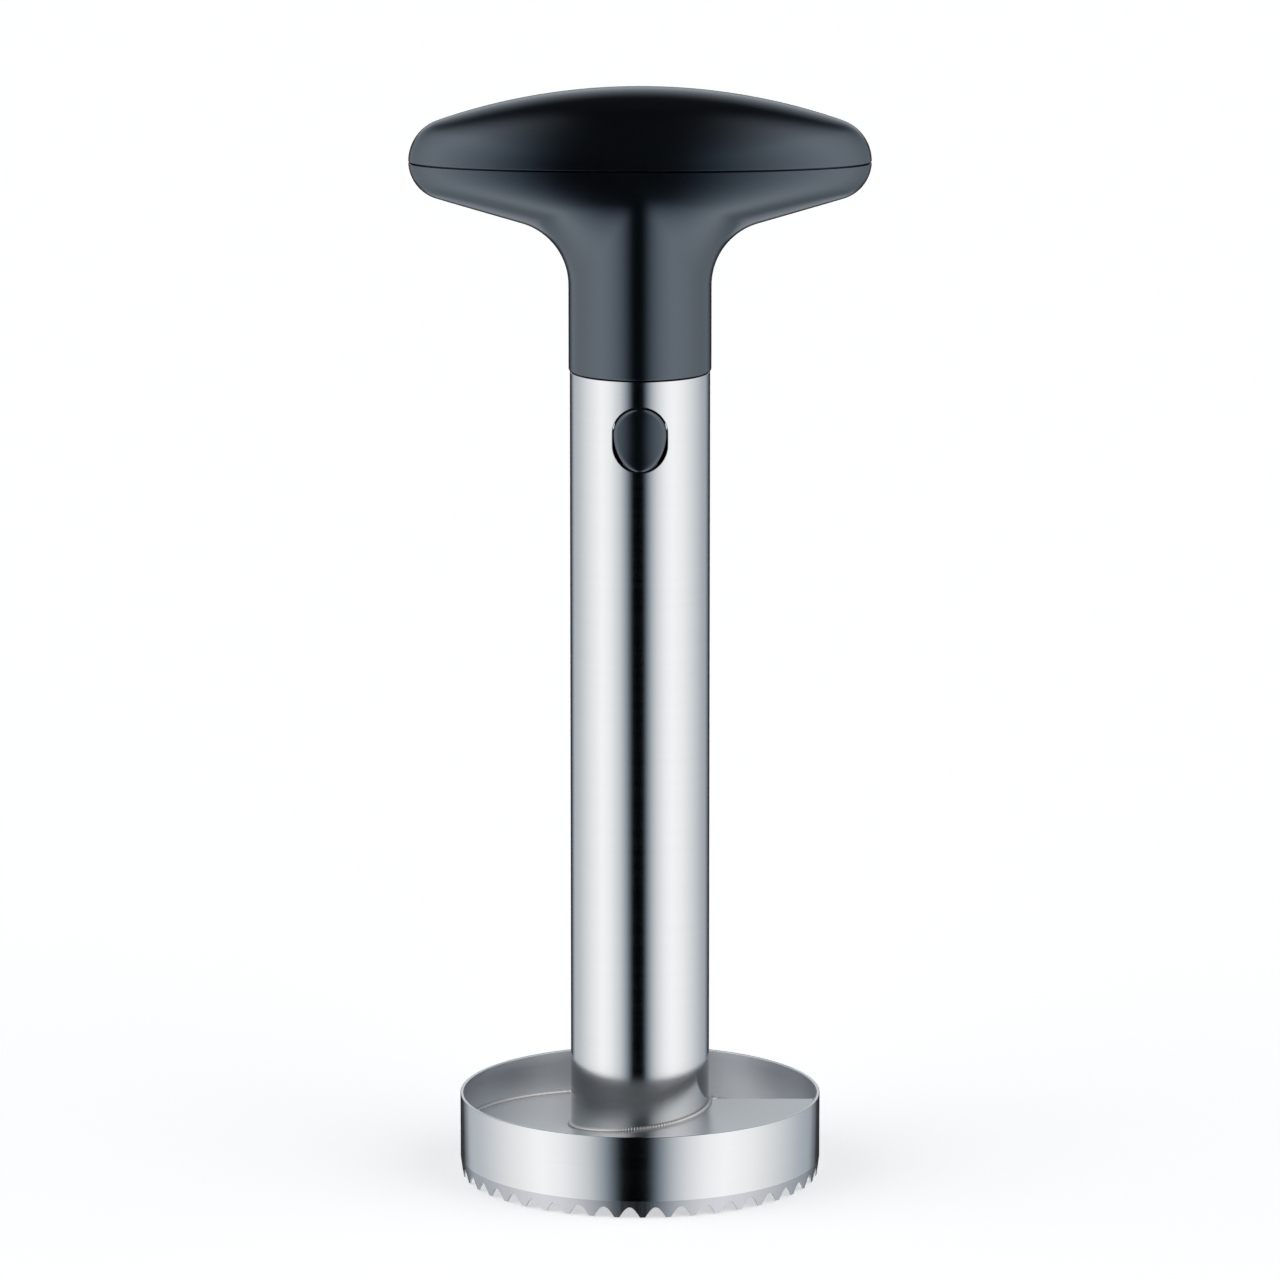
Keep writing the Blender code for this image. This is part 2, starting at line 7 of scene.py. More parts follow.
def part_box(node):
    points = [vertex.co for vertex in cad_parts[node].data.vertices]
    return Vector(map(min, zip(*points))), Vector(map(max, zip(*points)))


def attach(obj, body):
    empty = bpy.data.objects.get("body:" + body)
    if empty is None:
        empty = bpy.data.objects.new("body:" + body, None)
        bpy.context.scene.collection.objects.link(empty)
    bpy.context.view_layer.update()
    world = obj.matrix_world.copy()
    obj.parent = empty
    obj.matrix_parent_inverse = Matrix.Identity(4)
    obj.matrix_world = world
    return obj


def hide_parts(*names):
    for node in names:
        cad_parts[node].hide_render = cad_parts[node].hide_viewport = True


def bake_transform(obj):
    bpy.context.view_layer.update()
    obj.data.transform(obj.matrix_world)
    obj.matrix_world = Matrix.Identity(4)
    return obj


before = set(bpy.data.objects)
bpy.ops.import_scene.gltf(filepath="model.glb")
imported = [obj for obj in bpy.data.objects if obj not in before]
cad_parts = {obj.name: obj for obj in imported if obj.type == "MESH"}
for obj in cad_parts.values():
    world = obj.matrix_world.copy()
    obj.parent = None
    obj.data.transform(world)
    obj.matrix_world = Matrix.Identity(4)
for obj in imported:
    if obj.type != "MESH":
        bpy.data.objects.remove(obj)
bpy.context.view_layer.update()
print("frame loaded")


# small tools that all the pieces share

shaping = {
    "edgeSteps": 4,  # faces in a quarter round
    "smoothAngle": 30,
    "sameRadius": 1e-5,  # a place this near to a wall's radius lies on the wall
    "wallLean": 0.9,  # cosine of the widest slant that still takes the wall's shading
    "upright": 0.5,  # a face is upright where its normal rises or falls less than this
    "hair": 1e-6,  # less than this counts as nothing
}


def deselect():
    if bpy.context.object and bpy.context.object.mode != "OBJECT":
        bpy.ops.object.mode_set(mode="OBJECT")
    bpy.ops.object.select_all(action="DESELECT")


def activate(piece):
    deselect()
    bpy.context.view_layer.objects.active = piece
    piece.select_set(True)


def editMesh(action):
    # into edit mode, with everything selected or nothing
    bpy.ops.object.mode_set(mode="EDIT")
    bpy.ops.mesh.select_all(action=action)


def stackRings(name, steps, count, place, ends="joined"):
    # A circle is extruded into a stack of rings, one apart, and then every ring is set in its place. The
    # two ends are joined to each other, or closed by flat caps or by poles.
    deselect()
    bpy.ops.mesh.primitive_circle_add(vertices=steps, radius=1)
    piece = bpy.context.object
    piece.name = piece.data.name = name
    editMesh("SELECT")
    for _ in range(count - 1):
        bpy.ops.mesh.extrude_region_move(TRANSFORM_OT_translate={"value": (0, 0, 1)})
    bpy.ops.mesh.select_all(action="DESELECT")
    bpy.ops.mesh.select_non_manifold()
    if ends == "joined":
        bpy.ops.mesh.bridge_edge_loops()
    else:
        bpy.ops.mesh.fill_holes(sides=0)
        bpy.ops.mesh.select_face_by_sides(number=steps, type="EQUAL", extend=False)
        if ends == "poles":
            bpy.ops.mesh.poke()
    bpy.ops.object.mode_set(mode="OBJECT")
    for vert in piece.data.vertices:
        ring = round(vert.co.z)
        turn = math.atan2(vert.co.y, vert.co.x) % math.tau
        atPole = vert.co.xy.length < 0.5  # a ring's own points are at 1 from the axis
        vert.co = place(ring, turn, atPole)
    turnOut(piece)
    return piece


def turnOut(piece):
    # points every face outwards
    activate(piece)
    editMesh("SELECT")
    bpy.ops.mesh.normals_make_consistent(inside=False)
    bpy.ops.object.mode_set(mode="OBJECT")


def onCircle(radius, turn, height):
    return (radius * math.cos(turn), radius * math.sin(turn), height)


def nearest(turn, points):
    # the point that belongs to a turn, where the points are spread over the whole turn
    return points[round(turn / math.tau * len(points)) % len(points)]


def evenly(first, last, steps):
    # values in equal steps, with the first and the last among them
    return [first + (last - first) * i / steps for i in range(steps + 1)]


def arc(x, z, radius, turns):
    return [(x + radius * math.cos(turn), z + radius * math.sin(turn)) for turn in turns]


def roundCorner(radius, height, soft, start):
    # a rounded corner of a profile about its centre, turning a quarter from the start angle
    return arc(radius, height, soft, evenly(start, start + math.pi / 2, shaping["edgeSteps"]))


def quarterRound(soft):
    # a rounded edge as distances (in from the side, in from the end), from the side round to the end
    turns = evenly(0.0, math.pi / 2, shaping["edgeSteps"])
    return [(soft * (1 - math.cos(turn)), soft * (1 - math.sin(turn))) for turn in turns]


def boolean(piece, other, operation="DIFFERENCE"):
    activate(piece)
    step = piece.modifiers.new("boolean", "BOOLEAN")
    step.operation, step.object, step.solver = operation, other, "EXACT"
    bpy.ops.object.modifier_apply(modifier=step.name)
    bpy.data.objects.remove(other)
    return piece


def makeThroughCutter(name, outline, middle, outer, bore, edges):
    # It cuts an opening right through a tube, from front to rear, and is flared at each surface so that it
    # leaves rounded edges. A point of the outline is (x, z from the middle, outward x, outward z).
    soft, tight, over = edges["outerRound"], edges["innerRound"], edges["overrun"]
    end = outer + 4 * over  # the flat ends stand well clear of the tube
    front = [(outer + over, soft + over)] + [(outer - into, grow) for into, grow in quarterRound(soft)]
    front += [(bore + tight, 0.0), (bore + tight / 3, tight / 3), (bore, tight), (bore - over, tight)]
    rows = [(-1, None, soft + over)] + [(-1, level, grow) for level, grow in front]
    rows += [(1, level, grow) for level, grow in reversed(front)] + [(1, None, soft + over)]

    def place(ring, turn, atPole):
        side, level, grow = rows[ring]
        x, z, outX, outZ = nearest(turn, outline)
        x, z = x + grow * outX, z + grow * outZ
        y = end if level is None else math.sqrt(level**2 - x**2)
        return (x, side * y, middle + z)

    return stackRings(name, len(outline), len(rows), place, "caps")


def copyPiece(piece, name, turn):
    # a copy with its own mesh, turned about the tube's axis
    made = piece.copy()
    made.data = piece.data.copy()
    made.name = made.data.name = name
    bpy.context.scene.collection.objects.link(made)
    made.data.transform(Matrix.Rotation(turn, 4, "Z"))
    return made


def dress(piece, finishes, nodes, body=None, smooth=shaping["smoothAngle"]):
    # smooth shading, materials, and the piece's place in the frame
    activate(piece)
    bpy.ops.object.shade_smooth_by_angle(angle=math.radians(smooth))
    indices = [face.material_index for face in piece.data.polygons]
    piece.data.materials.clear()
    for finish in finishes:
        piece.data.materials.append(finish)
    for face, index in zip(piece.data.polygons, indices):
        face.material_index = min(index, len(finishes) - 1)
    if body:
        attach(piece, body)
    if nodes:
        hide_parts(*nodes)
    return piece


def keepWallsRound(piece, low, *radii):
    # Above the low height the walls of these radii are shaded exactly round. Beside a cut they consist of
    # long thin faces, over which the slant of the cut's rounded edge would spread.
    mesh = piece.data
    normals = [Vector()] * len(mesh.loops)
    for face in mesh.polygons:
        for corner in face.loop_indices:
            at = mesh.vertices[mesh.loops[corner].vertex_index].co
            out = Vector((at.x, at.y, 0)).normalized()
            lean = out.dot(face.normal)
            onWall = any(abs(at.xy.length - radius) < shaping["sameRadius"] for radius in radii)
            if at.z > low and onWall and abs(lean) > shaping["wallLean"]:
                normals[corner] = out if lean > 0 else -out
    mesh.normals_split_custom_set(normals)


# shader groups

def newGroup(name, inputs, outputs):
    # inputs are (name, kind, usual value) and outputs are (name, kind)
    group = bpy.data.node_groups.new(name, "ShaderNodeTree")
    for label, kind, value in inputs:
        socket = group.interface.new_socket(name=label, in_out="INPUT", socket_type=kind)
        if value is not None:
            socket.default_value = value
    for label, kind in outputs:
        group.interface.new_socket(name=label, in_out="OUTPUT", socket_type=kind)
    return group, group.nodes.new("NodeGroupInput"), group.nodes.new("NodeGroupOutput")


def addNode(tree, kind, values=None, **settings):
    # a value that is a socket is linked, and any other is set
    node = tree.nodes.new(kind)
    for label, value in settings.items():
        setattr(node, label, value)
    for socket, value in (values or {}).items():
        if isinstance(value, bpy.types.NodeSocket):
            tree.links.new(value, node.inputs[socket])
        else:
            node.inputs[socket].default_value = value
    return node


def maths(tree, operation, first, second=0.0, third=0.0):
    values = {0: first, 1: second, 2: third}
    return addNode(tree, "ShaderNodeMath", values, operation=operation).outputs[0]


def mapRange(tree, value, start, end, low, high):
    values = {"Value": value, "From Min": start, "From Max": end, "To Min": low, "To Max": high}
    return addNode(tree, "ShaderNodeMapRange", values).outputs["Result"]


def addNoise(tree, place, scale, detail, result):
    noise = addNode(tree, "ShaderNodeTexNoise", {"Vector": place, "Scale": scale, "Detail": detail})
    tree.links.new(noise.outputs["Fac"], result)


def makeBrushing():
    # Fine lines that run along one direction: Across changes quickly, Along slowly.
    group, given, out = newGroup(
        "fineBrushing",
        [
            ("Across", "NodeSocketFloat", 0.0),
            ("Along", "NodeSocketVector", None),
            ("Lines per Metre", "NodeSocketFloat", 6000.0),
            ("Line Breaks", "NodeSocketFloat", 22.0),
        ],
        [("Fine", "NodeSocketFloat"), ("Broad", "NodeSocketFloat")],
    )
    breaks = {0: given.outputs["Along"], "Scale": given.outputs["Line Breaks"]}
    slow = addNode(group, "ShaderNodeVectorMath", breaks, operation="SCALE")
    split = addNode(group, "ShaderNodeSeparateXYZ", {0: slow.outputs[0]})
    for label, divisor, detail in (("Fine", 1.0, 4.0), ("Broad", 9.0, 2.0)):
        density = maths(group, "DIVIDE", given.outputs["Lines per Metre"], divisor)
        lines = maths(group, "MULTIPLY", given.outputs["Across"], density)
        at = addNode(group, "ShaderNodeCombineXYZ", {0: split.outputs[0], 1: split.outputs[1], 2: lines})
        addNoise(group, at.outputs[0], 1.0, detail, out.inputs[label])
    return group


def makeMouldGrain():
    # Spark-eroded texture of moulded plastic, with wide soft patches of slightly other gloss.
    group, given, out = newGroup(
        "mouldGrain",
        [
            ("Position", "NodeSocketVector", None),
            ("Grains per Metre", "NodeSocketFloat", 3600.0),
            ("Patches per Metre", "NodeSocketFloat", 45.0),
        ],
        [("Grain", "NodeSocketFloat"), ("Patches", "NodeSocketFloat")],
    )
    for label, density, detail in (("Grain", "Grains per Metre", 3.0), ("Patches", "Patches per Metre", 2.0)):
        addNoise(group, given.outputs["Position"], given.outputs[density], detail, out.inputs[label])
    return group


brushing = makeBrushing()
mouldGrain = makeMouldGrain()


# materials

steelLooks = {
    "tube": {
        "dark": (0.54, 0.55, 0.56), "light": (0.59, 0.60, 0.605), "roughness": (0.11, 0.15),
        "lines": 5200, "breaks": 16, "depth": 5e-7,
    },
    "bore": {
        "dark": (0.51, 0.53, 0.56), "light": (0.59, 0.61, 0.64), "roughness": (0.28, 0.36),
        "lines": 5200, "breaks": 16, "depth": 1e-6,
    },
    "blade": {
        "dark": (0.56, 0.57, 0.58), "light": (0.61, 0.62, 0.63), "roughness": (0.28, 0.33),
        "lines": 9000, "breaks": 30, "depth": 3e-7,
    },
    # the ground edges' darker tone is painted shade that sets the teeth off against the pale floor; their
    # roughness and grinding lines are the real ground finish
    "ground": {
        "dark": (0.36, 0.37, 0.39), "light": (0.48, 0.49, 0.51), "roughness": (0.16, 0.28),
        "lines": 4200, "breaks": 60, "depth": 2e-6,
        "turnRadius": 0.03,  # turns about the axis are measured along a circle of this radius
    },
    "weld": {
        "dark": (0.40, 0.39, 0.40), "light": (0.60, 0.59, 0.57), "roughness": (0.24, 0.38),
        "lines": 1800, "breaks": 90, "depth": 2e-6,
    },
    "fastener": {
        "dark": (0.46, 0.47, 0.49), "light": (0.60, 0.61, 0.62), "roughness": (0.26, 0.38),
        "lines": 4000, "breaks": 60, "depth": 1e-6,
    },
}
blackPlastic = {
    "dark": (0.0008, 0.0010, 0.0016), "light": (0.0012, 0.0014, 0.0022), "depth": 1e-6, "patches": 45,
    # the tint is a painted cool cast on the plastic's reflections, standing in for the studio's bluish light
    "specular": 1.0, "ior": 1.6, "tint": (0.69, 0.84, 1.0, 1),
}
plasticLooks = {
    "grip": {**blackPlastic, "roughness": (0.18, 0.21), "grains": 3600},
    "plug": {**blackPlastic, "roughness": (0.20, 0.24), "grains": 4200},
}
noiseMiddle = (0.3, 0.7)  # nearly all of a noise lies between these


def newMaterial(name, roughness, metallic):
    finish = bpy.data.materials.new(name)
    finish.use_nodes = True
    shader = finish.node_tree.nodes["Principled BSDF"]
    shader.inputs["Roughness"].default_value = roughness
    shader.inputs["Metallic"].default_value = metallic
    return finish, finish.node_tree, shader


def mixColours(tree, share, first, second):
    # the node's colours are its sockets 6 and 7, and the mixed colour is its output 2
    values = {0: share, 6: (*first, 1), 7: (*second, 1)}
    return addNode(tree, "ShaderNodeMix", values, data_type="RGBA").outputs[2]


def linkLooks(tree, shader, mask, height, values):
    # the mask leads from dark to light and from smooth to dull, and the height is the fine relief
    colour = mixColours(tree, mask, values["dark"], values["light"])
    tree.links.new(colour, shader.inputs["Base Color"])
    roughness = mapRange(tree, mask, *noiseMiddle, *values["roughness"])
    tree.links.new(roughness, shader.inputs["Roughness"])
    relief = {"Strength": 1.0, "Distance": values["depth"], "Height": height}
    bump = addNode(tree, "ShaderNodeBump", relief)
    tree.links.new(bump.outputs[0], shader.inputs["Normal"])


def makeSteel(name, values, across="height"):
    # The brushed lines follow each other up the height, along the depth from front to rear, out along the
    # radius from the tube's axis, or round with the turn about it.
    finish, tree, shader = newMaterial(name, values["roughness"][0], 1.0)
    place = addNode(tree, "ShaderNodeTexCoord").outputs["Object"]
    x, y, z = addNode(tree, "ShaderNodeSeparateXYZ", {0: place}).outputs
    if across == "radius":
        flat = addNode(tree, "ShaderNodeCombineXYZ", {0: x, 1: y}).outputs[0]
        measure = addNode(tree, "ShaderNodeVectorMath", {0: flat}, operation="LENGTH").outputs["Value"]
    elif across == "turn":
        measure = maths(tree, "MULTIPLY", maths(tree, "ARCTAN2", y, x), values["turnRadius"])
    else:
        measure = z if across == "height" else y
    given = {
        "Across": measure, "Along": place,
        "Lines per Metre": values["lines"], "Line Breaks": values["breaks"],
    }
    lines = addNode(tree, "ShaderNodeGroup", given, node_tree=brushing)
    halfFine = maths(tree, "MULTIPLY", lines.outputs["Fine"], 0.5)
    mean = maths(tree, "MULTIPLY_ADD", lines.outputs["Broad"], 0.5, halfFine)
    linkLooks(tree, shader, mean, lines.outputs["Fine"], values)
    return finish


def makePlastic(name, values):
    finish, tree, shader = newMaterial(name, values["roughness"][0], 0.0)
    shader.inputs["Specular IOR Level"].default_value = values["specular"]
    shader.inputs["IOR"].default_value = values["ior"]
    # a painted blue cast on the reflections
    shader.inputs["Specular Tint"].default_value = values["tint"]
    place = addNode(tree, "ShaderNodeTexCoord").outputs["Object"]
    given = {"Position": place, "Grains per Metre": values["grains"], "Patches per Metre": values["patches"]}
    grain = addNode(tree, "ShaderNodeGroup", given, node_tree=mouldGrain)
    linkLooks(tree, shader, grain.outputs["Patches"], grain.outputs["Grain"], values)
    return finish


tubeSteel = makeSteel("brushedTubeSteel", steelLooks["tube"])
boreSteel = makeSteel("dullBoreSteel", steelLooks["bore"])
bladeSteel = makeSteel("bladeSteel", steelLooks["blade"], "depth")
# ground finish with painted shade: its tone is darker than the steel's own
groundSteelWithPaintedShade = makeSteel("groundEdgeSteelWithPaintedShade", steelLooks["ground"], "turn")
weldSteel = makeSteel("weldBeadSteel", steelLooks["weld"], "radius")
fastenerSteel = makeSteel("fastenerSteel", steelLooks["fastener"], "radius")
gripPlastic = makePlastic("gripPlastic", plasticLooks["grip"])
plugPlastic = makePlastic("plugPlastic", plasticLooks["plug"])
print("materials made")


# core tube and rim ring

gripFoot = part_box("grip_body")[0].z  # the height of the stem's foot
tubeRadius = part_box("core_tube")[1].x
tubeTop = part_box("core_tube")[1].z
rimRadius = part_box("rim_ring")[1].x
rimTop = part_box("rim_ring")[1].z
sheet = {
    "stepsPerTooth": 15,
    "tipShare": 0.2,
    "edgeLand": 0.0003,
    "lipRound": 0.00022,
    "creaseSoft": 0.00007,
}
tube = {
    **sheet,
    "wall": 0.0007,
    "teeth": 24,
    "toothDepth": 0.0020,
    "grindHeight": 0.0034,
    "wallRings": (0.012, 0.024),  # extra rings low on the wall
}
rim = {
    **sheet,
    "wall": 0.0008,
    "teeth": 44,
    "toothDepth": 0.0026,
    "grindHeight": 0.0042,
}
hole = {
    "halfWidth": 0.00665,
    "halfStraight": 0.00135,
    "drop": 0.0145,
    "outerRound": 0.00018,
    "innerRound": 0.00010,
    "steps": 96,
    "overrun": 0.0010,
    "margin": 0.0006,  # from the hole to the rings above and below it
}


def makeSleeve(name, spec, outer, top, heights=()):
    # a thin tube standing on scalloped teeth that are ground from outside
    bore = outer - spec["wall"]
    land, soft, crease = spec["edgeLand"], spec["lipRound"], spec["creaseSoft"]
    grind = spec["grindHeight"]
    wall = [(outer, z) for z in (grind + crease, *heights)]
    wall += roundCorner(outer - soft, top - soft, soft, 0)
    wall += roundCorner(bore + soft, top - soft, soft, math.pi / 2)
    wall += [(bore, z) for z in (*reversed(heights), grind)]
    rows = [("edge", None), ("slope", 0.0), ("slope", 0.5), ("slope", 1.0)]
    rows += [("wall", pair) for pair in wall]

    def place(ring, turn, atPole):
        kind, value = rows[ring]
        share = turn / math.tau * spec["teeth"] % 1
        tip = spec["tipShare"]
        rise = 0.0 if share < tip else spec["toothDepth"] * math.sin(math.pi * (share - tip) / (1 - tip))
        if kind == "edge":
            return onCircle(bore, turn, rise)
        if kind == "wall":
            return onCircle(value[0], turn, value[1])
        height = rise + (grind - crease - rise) * value
        radius = bore + land + (spec["wall"] - land) * height / grind
        return onCircle(radius, turn, height)

    return stackRings(name, spec["teeth"] * spec["stepsPerTooth"], len(rows), place)


def markSleeve(piece, spec, outer):
    # 0 the wall outside, 1 the bore, 2 the ground edge
    bore = outer - spec["wall"]
    for face in piece.data.polygons:
        radius = face.center.xy.length
        if face.center.z < spec["grindHeight"] - spec["creaseSoft"] and radius > bore + spec["edgeLand"] / 2:
            face.material_index = 2
        elif radius < bore + spec["wall"] / 4 and abs(face.normal.z) < shaping["upright"]:
            face.material_index = 1
        else:
            face.material_index = 0


def holeOutline():
    # an upright obround
    points = []
    for turn in evenly(0.0, math.tau, hole["steps"])[:-1]:
        out = (math.cos(turn), math.sin(turn))
        rise = math.copysign(hole["halfStraight"], out[1]) if abs(out[1]) > shaping["hair"] else 0.0
        points.append((hole["halfWidth"] * out[0], rise + hole["halfWidth"] * out[1], *out))
    return points


holeHeight = gripFoot - hole["drop"]
holeReach = hole["halfWidth"] + hole["halfStraight"] + hole["margin"]
tubeBore = tubeRadius - tube["wall"]
tubeRings = (*tube["wallRings"], holeHeight - holeReach, holeHeight + holeReach)
coreTube = makeSleeve("coreTube", tube, tubeRadius, tubeTop, tubeRings)
boolean(coreTube, makeThroughCutter("holeCutter", holeOutline(), holeHeight, tubeRadius, tubeBore, hole))
markSleeve(coreTube, tube, tubeRadius)
dress(coreTube, [tubeSteel, boreSteel, groundSteelWithPaintedShade], ["core_tube"], "cutter")
keepWallsRound(coreTube, tubeRings[0], tubeRadius, tubeBore)

rimRing = makeSleeve("rimRing", rim, rimRadius, rimTop)
markSleeve(rimRing, rim, rimRadius)
dress(rimRing, [tubeSteel, boreSteel, groundSteelWithPaintedShade], ["rim_ring"], "cutter")
print("tube and rim made")


# spiral blade and its welds

blade = {
    "edgeHeight": 0.0040,
    "pitch": 0.0130,
    "thickness": 0.0010,
    "lip": 0.0002,
    "grindWidth": 0.0038,
    "creaseSoft": 0.00008,
    "edgeTurn": 1.0,  # the ground edge ends within this turn
    "upward": 0.3,  # a face belongs to the top where its normal rises more than this
    "gap": 0.0003,
    "steps": 288,
    "strips": 6,
    "smoothAngle": 40,
}
weld = {
    "leg": 0.0009,
    "sides": 12,
    "steps": 900,
    "ripples": 150,
    "rippleDepth": 0.10,
    "endShare": 0.55,
    "embed": 0.0003,
    "startTurn": 0.16,
    "endTurn": 6.26,
    "smoothAngle": 60,
}


def bladeHeight(turn):
    return blade["edgeHeight"] + blade["pitch"] * turn / math.tau


def nearEdge(place, reach):
    # on the blade's first stretch, no farther than this behind the cutting edge
    x, y, z = place
    return x > 0 and -blade["thickness"] < y < reach and z < bladeHeight(blade["edgeTurn"])


def makeBlade():
    inner = tubeRadius + blade["gap"]
    outer = rimRadius - rim["wall"] - blade["gap"]
    thick, width = blade["thickness"], blade["grindWidth"]
    deselect()
    bpy.ops.mesh.primitive_plane_add(size=1, rotation=(math.pi / 2, 0, 0))
    piece = bpy.context.object
    piece.name = piece.data.name = "spiralBlade"
    piece.scale = (outer - inner, thick, 1)
    piece.location = ((inner + outer) / 2, 0, blade["edgeHeight"] + thick / 2)
    bpy.ops.object.transform_apply(location=True, rotation=True, scale=True)
    editMesh("SELECT")
    bpy.ops.mesh.delete(type="ONLY_FACE")
    bpy.ops.mesh.select_all(action="SELECT")
    bpy.ops.mesh.subdivide(number_cuts=blade["strips"] - 1)
    bpy.ops.object.mode_set(mode="OBJECT")
    turn = piece.modifiers.new("turn", "SCREW")
    turn.axis, turn.angle, turn.screw_offset = "Z", math.tau, blade["pitch"]
    turn.steps = turn.render_steps = blade["steps"]
    turn.use_smooth_shade = False
    bpy.ops.object.modifier_apply(modifier=turn.name)
    editMesh("DESELECT")
    bpy.ops.mesh.select_non_manifold()
    bpy.ops.mesh.fill_holes(sides=0)
    # two lines across the blade, close together, where the ground bevel ends
    for offset in (-blade["creaseSoft"], blade["creaseSoft"]):
        bpy.ops.object.mode_set(mode="OBJECT")
        for face in piece.data.polygons:
            face.select = nearEdge(face.center, 2 * width)
        bpy.ops.object.mode_set(mode="EDIT")
        bpy.ops.mesh.bisect(plane_co=(0, width + offset, 0), plane_no=(0, 1, 0))
    bpy.ops.object.mode_set(mode="OBJECT")
    # the top comes down to the sharp lip in front of those lines
    for vert in piece.data.vertices:
        if nearEdge(vert.co, width):
            x, y, z = vert.co
            under = bladeHeight(math.atan2(y, x))
            share = (z - under) / thick
            vert.co.z = under + share * (blade["lip"] + (thick - blade["lip"]) * max(y, 0) / width)
    turnOut(piece)
    for face in piece.data.polygons:
        face.material_index = int(nearEdge(face.center, width) and face.normal.z > blade["upward"])
    return piece


def makeBead(name, radius, side):
    # A rippled bead laid in the corner between a wall and the blade's top; side is +1 where the blade
    # lies outside the wall.
    leg, sides, steps = weld["leg"], weld["sides"], weld["steps"]

    def place(ring, turn, atPole):
        share = ring / (steps - 1)
        at = weld["startTurn"] + (weld["endTurn"] - weld["startTurn"]) * share
        ripple = share * weld["ripples"] % 1
        size = leg * (1 - weld["rippleDepth"] * ripple)
        if ring in (0, steps - 1):
            size *= weld["endShare"]
        if atPole:
            size = 0.0
        out = radius + side * max(size * math.cos(turn), -weld["embed"])
        up = blade["thickness"] + max(size * math.sin(turn), -weld["embed"])
        return onCircle(out, at, bladeHeight(at) + up)

    return stackRings(name, sides, steps, place, "poles")


spiralBlade = makeBlade()
dress(spiralBlade, [bladeSteel, groundSteelWithPaintedShade], ["spiral_blade"], "cutter", blade["smoothAngle"])
innerBead = makeBead("innerWeldBead", tubeRadius, 1)
dress(innerBead, [weldSteel], [], "cutter", weld["smoothAngle"])
outerBead = makeBead("outerWeldBead", rimRadius - rim["wall"], -1)
dress(outerBead, [weldSteel], [], "cutter", weld["smoothAngle"])
print("blade made")


# grip shells

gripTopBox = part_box("grip_top_shell")
grip = {
    "halfLength": gripTopBox[1].x,
    "halfDepth": gripTopBox[1].y,
    "crown": 0.0180,
    "tipTopRadius": 0.0104,
    "tipBottomRadius": 0.0094,
    "planPower": 2.3,
    "slope": math.radians(16.1),
    "filletRadius": 0.0158,
    "stemRadius": 0.0173,
    "stemLength": 0.0508,
    "wall": 0.0028,
    "seamGap": 0.0003,
    "seamRound": 0.00028,
    "underSeam": 0.00042,  # from the seam down to the lower shell's first full section
    "rimLand": 0.0014,
    "lipHeight": 0.0015,
    "footRound": 0.0004,
    "socketRadius": 0.0143,
    "socketFlat": 0.0129,
    "socketTop": 0.0163,
    "diaphragmTop": 0.0203,
    "bossRadius": 0.0046,
    "bossRoot": 0.0002,  # the boss starts this far under the hollow's highest point
    "screwHoleRadius": 0.0023,
    "screwBite": 0.0203,
    "clear": 0.0010,  # the inside's rings keep this far from the boss and the web
    "steps": 240,
    "poleRing": 0.4,  # distance of the first ring from the crown's pole, in rings
    "aboveSteps": (26, 12),  # crown, tip
    "belowSteps": (14, 12, 26),  # tip, slope, fillet
    "insideAboveSteps": (12, 6),
    "insideBelowSteps": (8, 6, 12),
    "searchSteps": 32,
}
seamHeight = gripFoot + grip["stemLength"]


